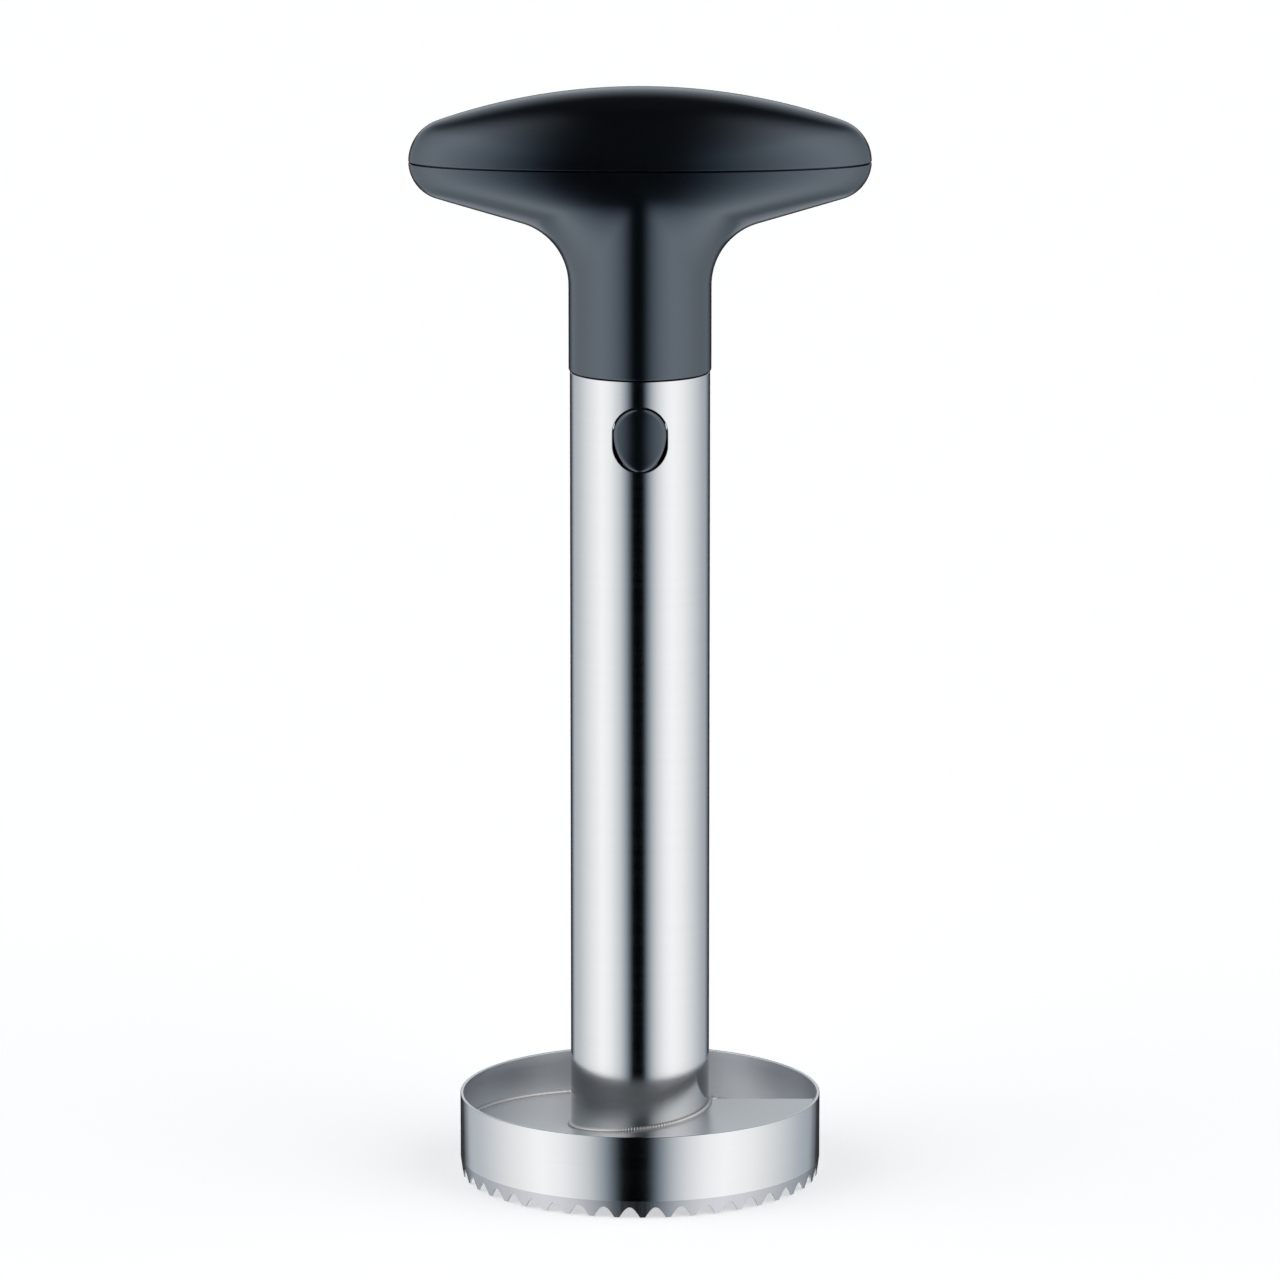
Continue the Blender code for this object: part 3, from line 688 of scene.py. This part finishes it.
class GripForm:
    # A lens-shaped bar on a round stem, with a large fillet between them, the whole inset by a wall.
    def __init__(self, inset=0.0):
        self.reach = grip["halfLength"] - inset
        self.halfDepth = grip["halfDepth"] - inset
        self.stem = grip["stemRadius"] - inset
        topRadius, bottomRadius = grip["tipTopRadius"], grip["tipBottomRadius"]
        self.topX = grip["halfLength"] - topRadius
        self.bottomX = grip["halfLength"] - bottomRadius
        self.topRadius = topRadius - inset
        self.bottomRadius = bottomRadius - inset
        crown = (self.topX**2 + grip["crown"] ** 2 - topRadius**2) / (2 * (grip["crown"] - topRadius))
        self.crownCentre = grip["crown"] - crown
        self.crownRadius = crown - inset
        self.crownTurn = math.atan2(self.topX, -self.crownCentre)
        along, down = math.sin(grip["slope"]), math.cos(grip["slope"])
        self.slopeX = self.bottomX + self.bottomRadius * along
        self.slopeZ = -self.bottomRadius * down
        self.filletRadius = grip["filletRadius"] + inset
        self.filletX = grip["stemRadius"] + grip["filletRadius"]
        self.filletZ = self.belly(self.filletX) - self.filletRadius / down

    def crown(self, x):
        if x < self.crownRadius * math.sin(self.crownTurn):
            return self.crownCentre + math.sqrt(self.crownRadius**2 - x**2)
        return math.sqrt(max(self.topRadius**2 - (x - self.topX) ** 2, 0.0))

    def belly(self, x):
        if x < self.slopeX:
            return self.slopeZ - (self.slopeX - x) * math.tan(grip["slope"])
        return -math.sqrt(max(self.bottomRadius**2 - (x - self.bottomX) ** 2, 0.0))

    def plan(self, x):
        power = grip["planPower"]
        return self.halfDepth * max(1 - (x / self.reach) ** power, 0.0) ** (1 / power)

    def outside(self, x, y, z):
        # How far a point under the seam lies outside the stem and the bar; it is negative inside.
        # Where they meet, a ball that rolls along both leaves a fillet.
        plan, belly, radius = self.plan(x), self.belly(x), self.filletRadius
        across = math.hypot(x, y)
        fromStem = across - self.stem
        fromBar = (1 - math.hypot(y / plan, z / belly)) * belly * math.cos(grip["slope"])
        down = z / belly**2
        normal = Vector((-down * math.tan(grip["slope"]), y / plan**2, down)).normalized()
        alike = (normal.x * x + normal.y * y) / across
        toStem, toBar = radius - fromStem, radius - fromBar
        if toStem <= alike * toBar or toBar <= alike * toStem:
            return min(fromStem, fromBar)
        return radius - math.sqrt((toStem**2 + toBar**2 - 2 * alike * toStem * toBar) / (1 - alike**2))

    def depth(self, x, z):
        # distance of the surface from the grip's middle plane
        if z >= 0 or x >= self.filletX:
            limit = self.crown(x) if z > 0 else self.belly(x)
            return self.plan(x) * math.sqrt(max(1 - (z / limit) ** 2, 0.0)) if limit else 0.0
        inner, outer = 0.0, 2 * self.halfDepth
        for _ in range(grip["searchSteps"]):
            middle = (inner + outer) / 2
            if self.outside(x, middle, z) > 0:
                outer = middle
            else:
                inner = middle
        return inner

    def above(self, crownSteps, tipSteps):
        # (half length, height) of each section from the crown down to the seam
        radius, first = self.crownRadius, grip["poleRing"]
        rows = []
        for i in range(crownSteps + 1):
            turn = self.crownTurn * (i + first) / (crownSteps + first)
            rows.append((radius * math.sin(turn), self.crownCentre + radius * math.cos(turn)))
        start = math.pi / 2 - self.crownTurn
        turns = [start * (1 - i / tipSteps) for i in range(1, tipSteps)]
        return rows + arc(self.topX, 0.0, self.topRadius, turns) + [(self.reach, 0.0)]

    def below(self, start, tipSteps, slopeSteps, filletSteps):
        # (half length, height) of each section from the start height down to the stem
        first = math.asin(start / self.bottomRadius)
        last = grip["slope"] - math.pi / 2
        tip = arc(self.bottomX, 0.0, self.bottomRadius, evenly(first, last, tipSteps))
        touch = math.pi / 2 + grip["slope"]
        fillet = arc(self.filletX, self.filletZ, self.filletRadius, evenly(touch, math.pi, filletSteps))
        (startX, startZ), (endX, endZ) = tip[-1], fillet[0]
        slope = list(zip(evenly(startX, endX, slopeSteps), evenly(startZ, endZ, slopeSteps)))
        return tip + slope[1:-1] + fillet


def gripRing(form, halfLength, z, level=None, shrink=0.0):
    # one level section of the grip, as a row for placing, which may be set at another level or drawn in
    return ("section", form, halfLength, z, z if level is None else level, shrink)


def roundRing(radius, level, flat=None):
    # a round row, which may have a flat on its left and right
    return ("round", radius, level, flat)


def placeRings(rows, base):
    cache = {}

    def place(ring, turn, atPole):
        row = rows[ring]
        if row[0] == "round":
            _, radius, level, flat = row
            if atPole:
                return (0, 0, base + level)
            x, y, z = onCircle(radius, turn, base + level)
            return (max(-flat, min(flat, x)) if flat else x, y, z)
        _, form, halfLength, z, level, shrink = row
        if atPole:
            return (0, 0, base + form.crownCentre + form.crownRadius)
        x = halfLength * math.cos(turn)
        key = (ring, round(abs(x), 9))
        if key not in cache:
            cache[key] = form.depth(abs(x), z)
        y = math.copysign(cache[key], math.sin(turn))
        if abs(math.sin(turn)) < shaping["hair"]:
            y = 0.0
        return (x * (1 - shrink / form.reach), y * (1 - shrink / form.halfDepth), base + level)

    return place


def seamCorner(form, level, side):
    # rounds a shell's outer corner at the seam, from the full section to the flat of the joint; side is
    # +1 for the upper shell and -1 for the lower one
    rows = quarterRound(grip["seamRound"])
    return [gripRing(form, form.reach, 0.0, level + side * rise, shrink) for shrink, rise in rows]


def makeGripTop():
    outside, inside = GripForm(), GripForm(grip["wall"])
    lip = GripForm(grip["rimLand"] + grip["seamGap"])
    drop = -grip["lipHeight"]
    rows = [gripRing(outside, x, z) for x, z in outside.above(*grip["aboveSteps"])[:-1]]
    rows += seamCorner(outside, 0.0, 1)
    rows += [gripRing(lip, lip.reach, 0.0), gripRing(lip, lip.reach, 0.0, drop)]
    rows.append(gripRing(inside, inside.reach, 0.0, drop))
    ceiling = reversed(inside.above(*grip["insideAboveSteps"]))
    rows += [gripRing(inside, x, z) for x, z in ceiling if x > grip["bossRadius"] + grip["clear"]]
    bossFoot = grip["diaphragmTop"] + grip["seamGap"] - grip["stemLength"]
    bossTop = inside.crownCentre + inside.crownRadius - grip["bossRoot"]
    rows += [roundRing(grip["bossRadius"], z) for z in (bossTop, bossFoot)]
    rows += [roundRing(grip["screwHoleRadius"], z) for z in (bossFoot, bossFoot + grip["screwBite"])]
    return stackRings("gripTop", grip["steps"], len(rows), placeRings(rows, seamHeight), "poles")


def makeGripBody():
    outside, inside = GripForm(), GripForm(grip["wall"])
    land = GripForm(grip["rimLand"])
    top, floor = -grip["seamGap"], -grip["lipHeight"] - grip["seamGap"]
    foot, soft = -grip["stemLength"], grip["footRound"]
    rows = list(reversed(seamCorner(outside, top, -1)))
    start = top - grip["underSeam"]
    rows += [gripRing(outside, x, z) for x, z in outside.below(start, *grip["belowSteps"])]
    rows.append(gripRing(outside, outside.stem, foot + 2 * soft))
    rows += [roundRing(outside.stem - into, foot + rise) for into, rise in quarterRound(soft)]
    web, webTop = foot + grip["socketTop"], foot + grip["diaphragmTop"]
    hole = grip["screwHoleRadius"]
    rows += [roundRing(grip["socketRadius"], z, grip["socketFlat"]) for z in (foot, web)]
    rows += [roundRing(hole, web), roundRing(hole, webTop), roundRing(inside.stem, webTop)]
    lining = reversed(inside.below(floor, *grip["insideBelowSteps"]))
    rows += [gripRing(inside, x, z) for x, z in lining if z > webTop + grip["clear"]]
    rows += [gripRing(land, land.reach, 0.0, z) for z in (floor, top)]
    return stackRings("gripBody", grip["steps"], len(rows), placeRings(rows, seamHeight))


gripTop = makeGripTop()
dress(gripTop, [gripPlastic], ["grip_top_shell"], "grip")
gripBody = makeGripBody()
dress(gripBody, [gripPlastic], ["grip_body"], "grip")
print("grip made")


# snap plug and its two button tongues

plug = {
    "length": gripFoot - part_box("snap_plug")[0].z,
    "radius": 0.0160,
    "bore": 0.0136,
    "leadInHeight": 0.0034,
    "leadInDepth": 0.0012,
    # the tip's rounded corner, outwards and upwards, in shares of the shoulder's rounding
    "tipShares": ((-1.0, 0.0), (-0.25, 0.3), (0.2, 1.2)),
    "creaseIn": 0.00008,  # the soft turn from the lead-in to the wall
    "creaseBelow": 0.0002,
    "creaseAbove": 0.00015,
    "mouthRound": 0.0005,
    "mouthShare": 0.3,
    "shoulderGap": 0.0003,
    "shoulderRound": 0.00025,
    "neckRadius": 0.0140,
    "neckFlat": 0.0126,
    "neckHeight": 0.0160,
    "neckBore": 0.0114,
    "neckSlope": 0.0024,  # height over which the bore narrows to the neck's
    "roof": 0.0030,
    "margin": 0.0006,  # from a keyhole to the rings above and below it
    "steps": 192,
}
keyhole = {
    "archRadius": 0.00795,
    "archDrop": 0.01315,  # the pad's middle is the arch's too
    "slotEndDrop": 0.0357,
    "hingeDrop": 0.0331,
    "outerRound": 0.00025,
    "innerRound": 0.00012,
    "archSteps": 40,
    "slotSteps": 14,
    "overrun": 0.0010,
}
button = {
    "halfWidth": 0.00635,
    "lowerReach": 0.00905,
    "face": 0.0178,
    "faceRound": 0.0006,
    "faceShares": (0.16, 0.3, 0.5, 0.7, 0.88),  # rings on the face, from the edge to the middle
    "back": 0.0132,
    "sink": 0.0002,  # a ring on the pad's side lies this far under the tongue's surface
    "steps": 96,
    "tongueHalf": 0.00435,
    "tongueRound": 0.00025,
    "cornerShare": 0.29,  # a rounded corner's middle lies this share of its radius inside
    "tongueSide": 9,
    "tongueRows": 16,
    "bendLength": 0.0041,
}


def makePlug():
    radius, bore, tip = plug["radius"], plug["bore"], -plug["length"]
    soft, mouth, gap = plug["shoulderRound"], plug["mouthRound"], plug["shoulderGap"]
    hole = grip["screwHoleRadius"]
    leadIn, leadInTop = radius - plug["leadInDepth"], tip + plug["leadInHeight"]
    slotRing = -keyhole["slotEndDrop"] - plug["margin"]
    archRing = -keyhole["archDrop"] + keyhole["archRadius"] + plug["margin"]
    rows = [(bore + mouth, tip)]
    rows += [(leadIn + soft * out, tip + soft * up) for out, up in plug["tipShares"]]
    rows.append((radius - plug["creaseIn"], leadInTop - plug["creaseBelow"]))
    rows += [(radius, z) for z in (leadInTop + plug["creaseAbove"], slotRing, archRing)]
    rows += roundCorner(radius - soft, -gap - soft, soft, 0)
    rings = [roundRing(*pair) for pair in rows]
    rings += [roundRing(plug["neckRadius"], z, plug["neckFlat"]) for z in (-gap, plug["neckHeight"])]
    roof = plug["neckHeight"] - plug["roof"]
    rows = [(hole, plug["neckHeight"]), (hole, roof), (plug["neckBore"], roof), (plug["neckBore"], 0.0)]
    rows += [(bore, z) for z in (-plug["neckSlope"], archRing, slotRing, tip + mouth)]
    rows.append((bore + mouth * plug["mouthShare"], tip + mouth * plug["mouthShare"]))
    rings += [roundRing(*pair) for pair in rows]
    return stackRings("snapPlug", plug["steps"], len(rings), placeRings(rings, gripFoot))


def keyholeOutline():
    # the arch, one slot, the tongue's bending line, and the other slot
    arch, half = keyhole["archRadius"], button["tongueHalf"]
    slot = (arch - half) / 2
    middle, centre = half + slot, -keyhole["slotEndDrop"] + slot
    points = []
    for turn in evenly(0.0, math.pi, keyhole["archSteps"]):
        out = (math.cos(turn), math.sin(turn))
        points.append((arch * out[0], -keyhole["archDrop"] + arch * out[1], *out))
    for side in (-1, 1):
        if side == 1:
            points += [(-half, -keyhole["hingeDrop"], 1, 0), (half, -keyhole["hingeDrop"], -1, 0)]
        for turn in evenly(math.pi, math.tau, keyhole["slotSteps"]):
            out = (math.cos(turn), math.sin(turn))
            points.append((side * middle + slot * out[0], centre + slot * out[1], *out))
    return points


def tongueSection():
    # (x, distance from the axis) round the tongue's cross-section, with rounded corners
    half, soft, side = button["tongueHalf"], button["tongueRound"], button["tongueSide"]
    outer, bore = plug["radius"], plug["bore"]
    corner = soft * button["cornerShare"]
    flat = evenly(-(half - soft), half - soft, side - 1)
    points = [(x, outer) for x in flat]
    points += [(half - corner, outer - corner), (half, outer - soft), (half, bore + soft / 2)]
    points += [(x, bore) for x in reversed(flat)]
    points += [(-half, bore + soft / 2), (-half, outer - soft), (-half + corner, outer - corner)]
    return points


def makeTongue():
    points = tongueSection()
    heights = evenly(-keyhole["hingeDrop"], -keyhole["archDrop"], button["tongueRows"] - 1)

    def place(ring, turn, atPole):
        x, level = nearest(turn, points)
        return (x, -math.sqrt(level**2 - x**2), gripFoot + heights[ring])

    return stackRings("frontButton", len(points), button["tongueRows"], place, "caps")


def makePad():
    # the raised button: round above, drawn out like an egg below, with a face as round as the tube
    face, soft, half = button["face"], button["faceRound"], button["halfWidth"]
    rows = [(button["back"], 0.0), (plug["radius"] - button["sink"], 0.0)]
    rows += [(face - down, inset) for inset, down in quarterRound(soft)]
    rows += [(face, half * share) for share in button["faceShares"]]

    def place(ring, turn, atPole):
        level, inset = rows[ring]
        scale = 0.0 if atPole else (half - inset) / half
        x = half * math.cos(turn) * scale
        z = math.sin(turn) * scale * (half if math.sin(turn) > 0 else button["lowerReach"])
        return (x, -math.sqrt(level**2 - x**2), gripFoot - keyhole["archDrop"] + z)

    return stackRings("pad", button["steps"], len(rows), place, "poles")


plugWalls = (plug["radius"], plug["bore"])
snapPlug = makePlug()
boolean(snapPlug, makeThroughCutter("keyholeCutter", keyholeOutline(), gripFoot, *plugWalls, keyhole))
dress(snapPlug, [plugPlastic], ["snap_plug"], "grip")
keepWallsRound(snapPlug, 0.0, *plugWalls)
frontButton = boolean(makeTongue(), makePad(), "UNION")
turnOut(frontButton)
rearButton = copyPiece(frontButton, "rearButton", math.pi)
for piece, name in ((frontButton, "front"), (rearButton, "rear")):
    dress(piece, [plugPlastic], [f"{name}_button_tongue"])
    keepWallsRound(piece, 0.0, *plugWalls)
    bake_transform(piece)
print("plug and buttons made")


# clamp screw and washer

screwBox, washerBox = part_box("clamp_screw"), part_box("screw_washer")
screw = {
    "headRadius": 0.0039,
    "headHeight": 0.0026,
    # the head's profile, as shares of its radius and height, from its crown to its seat
    "headShares": (
        (0.3, 0.0), (0.55, 0.03), (0.78, 0.15), (0.92, 0.35), (1.0, 0.65), (1.0, 0.97), (0.97, 1.0),
    ),
    "shank": 0.0020,
    "plainShank": 0.0060,
    "threadLead": 0.0003,  # from the plain shank to the thread
    "pitch": 0.0014,
    "threadDepth": 0.00045,
    "ridgeSlope": 3.2,
    "rowsPerTurn": 10,
    "point": 0.0030,
    "pointShare": 0.2,  # the thread's thickness at the end of the point
    "tipShare": 0.15,
    "recessWidth": 0.0011,
    "recessLength": 0.0042,
    "recessDepth": 0.0016,
    "recessOverrun": 0.0010,
    "recessTaperShares": (0.55, 0.7),  # the recess's length and width at its bottom
    "steps": 48,
}
washer = {
    "edgeRound": 0.00012,
    "steps": 64,
}


def makeRecessCutter(low, turn):
    # one bar of the cross recess, which narrows upwards into the head
    depth, over = screw["recessDepth"], screw["recessOverrun"]
    deselect()
    bpy.ops.mesh.primitive_cube_add(size=1, location=(0, 0, low + (depth - over) / 2))
    cutter = bpy.context.object
    cutter.scale = (screw["recessLength"], screw["recessWidth"], depth + over)
    bpy.ops.object.transform_apply(location=True, rotation=True, scale=True)
    for vert in cutter.data.vertices:
        if vert.co.z > low:
            vert.co.x *= screw["recessTaperShares"][0]
            vert.co.y *= screw["recessTaperShares"][1]
    cutter.data.transform(Matrix.Rotation(turn, 4, "Z"))
    return cutter


def makeScrew():
    low, high = screwBox[0].z, screwBox[1].z
    head, tall, shank = screw["headRadius"], screw["headHeight"], screw["shank"]
    seat = low + tall
    rows = [(head * out, low + tall * up) for out, up in screw["headShares"]]
    rows += [(shank, seat), (shank, seat + screw["plainShank"])]
    start = seat + screw["plainShank"] + screw["threadLead"]
    count = int((high - start) / screw["pitch"] * screw["rowsPerTurn"])
    rows += [(None, z) for z in evenly(start, high, count)[:-1]] + [(shank * screw["tipShare"], high)]

    def place(ring, turn, atPole):
        radius, height = rows[ring]
        if atPole:
            return (0, 0, height)
        if radius is None:
            phase = (height / screw["pitch"] - turn / math.tau) % 1
            ridge = max(1 - abs(phase - 0.5) * screw["ridgeSlope"], 0.0)
            taper = min((high - height) / screw["point"], 1.0)
            thickness = screw["pointShare"] + (1 - screw["pointShare"]) * taper
            radius = (shank - screw["threadDepth"] * (1 - ridge)) * thickness
        return onCircle(radius, turn, height)

    piece = stackRings("clampScrew", screw["steps"], len(rows), place, "poles")
    for turn in (0.0, math.pi / 2):
        boolean(piece, makeRecessCutter(low, turn))
    turnOut(piece)
    return piece


def makeWasher():
    low, high = washerBox[0].z, washerBox[1].z
    outer, inner, soft = washerBox[1].x, grip["screwHoleRadius"], washer["edgeRound"]
    profile = [(inner + soft, low), (outer - soft, low), (outer, low + soft), (outer, high - soft)]
    profile += [(outer - soft, high), (inner + soft, high), (inner, high - soft), (inner, low + soft)]
    rings = [roundRing(*pair) for pair in profile]
    return stackRings("screwWasher", washer["steps"], len(rings), placeRings(rings, 0.0))


clampScrew = makeScrew()
dress(clampScrew, [fastenerSteel], ["clamp_screw"], "grip")
screwWasher = makeWasher()
dress(screwWasher, [fastenerSteel], ["screw_washer"], "grip")
print("fasteners made")


# floor, studio and camera

studio = {
    "cameraDistance": 1.8,
    "cameraAngle": math.radians(9.4),
    "aimHeight": 0.1335,
    "frameWidth": 0.312,
    "sensorWidth": 36,
    "floorSize": 30,
    "floorDrop": 0.0002,
    "floorColour": (0.9, 0.9, 0.9, 1),
    "floorGlow": 0.415,
    "overheadGap": (0.15, 0.65),  # sideways over upward: dark below the first, full light from the second
    "leastUpward": 0.01,
    "backTurns": (math.radians(115), math.radians(150)),  # where the light behind takes over from the sides
    "backCeiling": (math.radians(22), math.radians(54), 0.03),  # start and end of the fade, level left
    # dark flags low behind the object, which draw its edges against the pale ground
    "flagTurns": (2.44, 2.72),
    "flagTop": (0.16, 0.10),
    "flagFoot": (-0.60, -0.50),
    "flagDepth": 0.95,
    "strength": 1.9,
    "coolShare": 0.25,  # dim parts of the studio are bluer, by up to this share
    "coolLevel": 1.3,
    "coolPower": 1.5,
    # radiance round the object: degrees to the right of the camera, brightness
    "round": (
        (-180, 0.85), (-158, 0.85), (-150, 0.60), (-121, 0.84), (-92, 1.26), (-66, 1.58),
        (-50, 1.42), (-33, 0.98), (-23, 0.52), (-17, 0.20), (-12, 0.0), (5, 0.0), (8, 0.10),
        (13, 0.37), (20, 0.76), (29, 1.12), (42, 1.44), (55, 1.58), (74, 1.44), (92, 1.18),
        (121, 0.74), (147, 0.48), (158, 0.85), (180, 0.85),
    ),
}


def addRound(tree, turn):
    # the brightness and tint of the studio, by the turn from the camera
    at = maths(tree, "MULTIPLY_ADD", turn, 1 / math.tau, 0.5)
    ramp = addNode(tree, "ShaderNodeValToRGB", {0: at})
    stops = ramp.color_ramp.elements
    while len(stops) > 1:
        stops.remove(stops[-1])
    for number, (angle, level) in enumerate(studio["round"]):
        stop = stops[0] if number == 0 else stops.new((angle + 180) / 360)
        stop.position = (angle + 180) / 360
        value = level / studio["strength"]
        cool = studio["coolShare"] * max(1 - level / studio["coolLevel"], 0.0) ** studio["coolPower"]
        stop.color = (value * (1 - cool), value, value * (1 + cool), 1)
    return ramp.outputs["Color"]


def makeWorld():
    world = bpy.data.worlds.new("studio")
    bpy.context.scene.world = world
    world.use_nodes = True
    tree = world.node_tree
    tree.nodes.clear()
    ray = addNode(tree, "ShaderNodeTexCoord").outputs["Generated"]
    x, y, z = addNode(tree, "ShaderNodeSeparateXYZ", {0: ray}).outputs
    turn = maths(tree, "ARCTAN2", x, maths(tree, "MULTIPLY", y, -1.0))
    colour = addRound(tree, turn)
    height = maths(tree, "ARCSINE", z)
    # the side lights stand tall with a gap between them overhead, and the light behind is low
    away = maths(tree, "ABSOLUTE", turn)
    behind = mapRange(tree, away, *studio["backTurns"], 0.0, 1.0)
    upward = maths(tree, "MAXIMUM", z, studio["leastUpward"])
    sideways = maths(tree, "DIVIDE", maths(tree, "ABSOLUTE", x), upward)
    sides = mapRange(tree, sideways, *studio["overheadGap"], 0.0, 1.0)
    start, end, left = studio["backCeiling"]
    back = mapRange(tree, height, start, end, 1.0, left)
    ceiling = maths(tree, "MULTIPLY_ADD", maths(tree, "SUBTRACT", back, sides), behind, sides)
    rear = mapRange(tree, away, *studio["flagTurns"], 0.0, 1.0)
    under = mapRange(tree, height, *studio["flagTop"], 0.0, 1.0)
    above = mapRange(tree, height, *studio["flagFoot"], 0.0, 1.0)
    flag = maths(tree, "MULTIPLY", rear, maths(tree, "MULTIPLY", under, above))
    clear = maths(tree, "MULTIPLY_ADD", flag, -studio["flagDepth"], 1.0)
    level = maths(tree, "MULTIPLY", ceiling, clear)
    strength = maths(tree, "MULTIPLY", level, studio["strength"])
    room = addNode(tree, "ShaderNodeBackground", {"Color": colour, "Strength": strength})
    ground = addNode(tree, "ShaderNodeBackground", {"Color": (1, 1, 1, 1), "Strength": 1.0})
    path = addNode(tree, "ShaderNodeLightPath")
    seen = maths(tree, "MAXIMUM", path.outputs["Is Camera Ray"], path.outputs["Is Transmission Ray"])
    mix = addNode(tree, "ShaderNodeMixShader", {0: seen, 1: room.outputs[0], 2: ground.outputs[0]})
    addNode(tree, "ShaderNodeOutputWorld", {"Surface": mix.outputs[0]})


def makeFloor():
    deselect()
    bpy.ops.mesh.primitive_plane_add(size=studio["floorSize"], location=(0, 0, -studio["floorDrop"]))
    bpy.ops.object.transform_apply(location=True)
    floor = bpy.context.object
    floor.name = "floor"
    floor.visible_glossy = False
    finish = bpy.data.materials.new("paleFloor")
    finish.use_nodes = True
    tree = finish.node_tree
    tree.nodes.clear()
    surface = addNode(tree, "ShaderNodeBsdfDiffuse", {"Color": studio["floorColour"]})
    path = addNode(tree, "ShaderNodeLightPath")
    glow = maths(tree, "MULTIPLY", path.outputs["Is Camera Ray"], studio["floorGlow"])
    light = addNode(tree, "ShaderNodeEmission", {"Color": (1, 1, 1, 1), "Strength": glow})
    both = addNode(tree, "ShaderNodeAddShader", {0: surface.outputs[0], 1: light.outputs[0]})
    # seen from below it is clear, so that the cutter's underside shows
    under = addNode(tree, "ShaderNodeNewGeometry").outputs["Backfacing"]
    clear = maths(tree, "MULTIPLY", under, path.outputs["Is Camera Ray"])
    glass = addNode(tree, "ShaderNodeBsdfTransparent")
    either = addNode(tree, "ShaderNodeMixShader", {0: clear, 1: both.outputs[0], 2: glass.outputs[0]})
    addNode(tree, "ShaderNodeOutputMaterial", {"Surface": either.outputs[0]})
    floor.data.materials.append(finish)


def makeCamera():
    camera = bpy.data.objects.new("camera", bpy.data.cameras.new("camera"))
    bpy.context.scene.collection.objects.link(camera)
    distance = studio["cameraDistance"]
    camera.location = (0, -distance, tubeTop + distance * math.tan(studio["cameraAngle"]))
    aim = Vector((0, 0, studio["aimHeight"])) - camera.location
    camera.rotation_euler = aim.to_track_quat("-Z", "Y").to_euler()
    camera.data.sensor_width = studio["sensorWidth"]
    camera.data.lens = studio["sensorWidth"] * aim.length / studio["frameWidth"]
    bpy.context.scene.camera = camera


makeWorld()
makeFloor()
makeCamera()
bpy.context.scene.view_settings.view_transform = "Standard"

print("scene finished")
